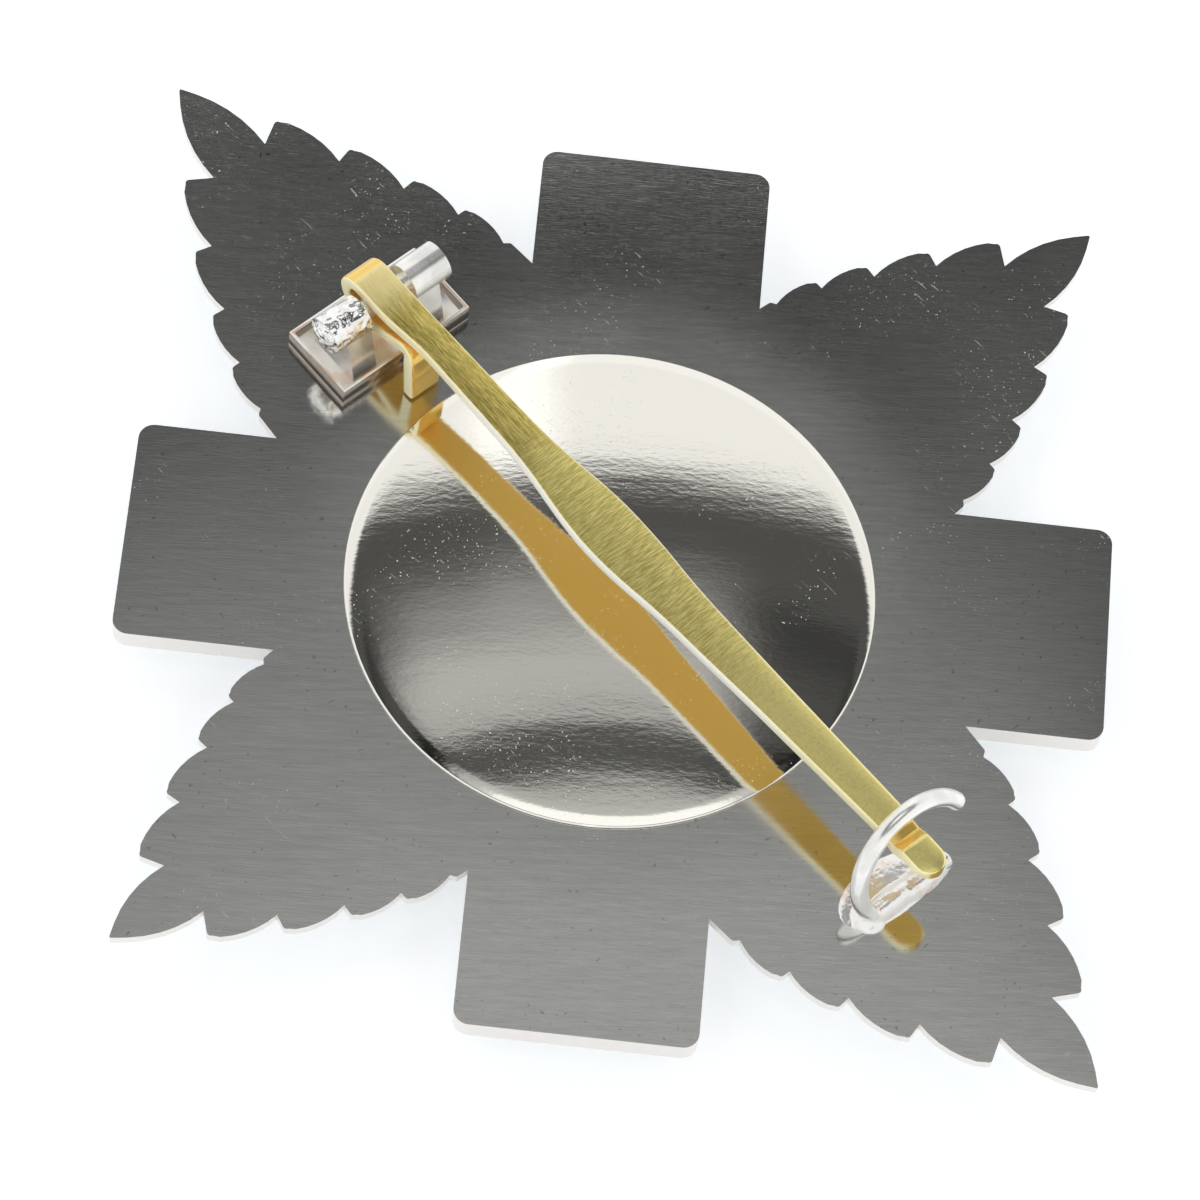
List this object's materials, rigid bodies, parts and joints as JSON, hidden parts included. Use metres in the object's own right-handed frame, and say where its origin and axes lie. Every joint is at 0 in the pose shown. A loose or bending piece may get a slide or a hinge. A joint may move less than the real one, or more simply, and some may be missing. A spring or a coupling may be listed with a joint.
{
  "type": "breast star",
  "caption": "Breast star of an order seen from its back: straight arms over toothed leaves, a domed disc and a hinged spring pin with a wire catch.",
  "frame": {"origin": "centre of the face of the front boss on which the star lies, under the centre of the cross of arms", "axes": "+Z from the front face up through the back, +Y along the pin towards its hinge, +X to the right seen from the back"},
  "size_m": [0.0804, 0.0888, 0.0107],
  "materials": {
    "silver": "brushed silver",
    "polished_silver": "polished silver",
    "rivet_silver": "worn silver",
    "gilt": "brushed gilt"
  },
  "bodies": {
    "star": {"star_plate": "silver", "centre_disc": "polished_silver", "hinge_rivet": "rivet_silver"},
    "pin": {"pin": "gilt"}
  },
  "joints": [
    {"name": "pin_lift", "type": "hinge", "parent": "star", "child": "pin", "pos_m": [-0.0006, 0.02307, 0.00765], "axis": [-1, 0, 0], "range_deg": [0, 110]}
  ]
}
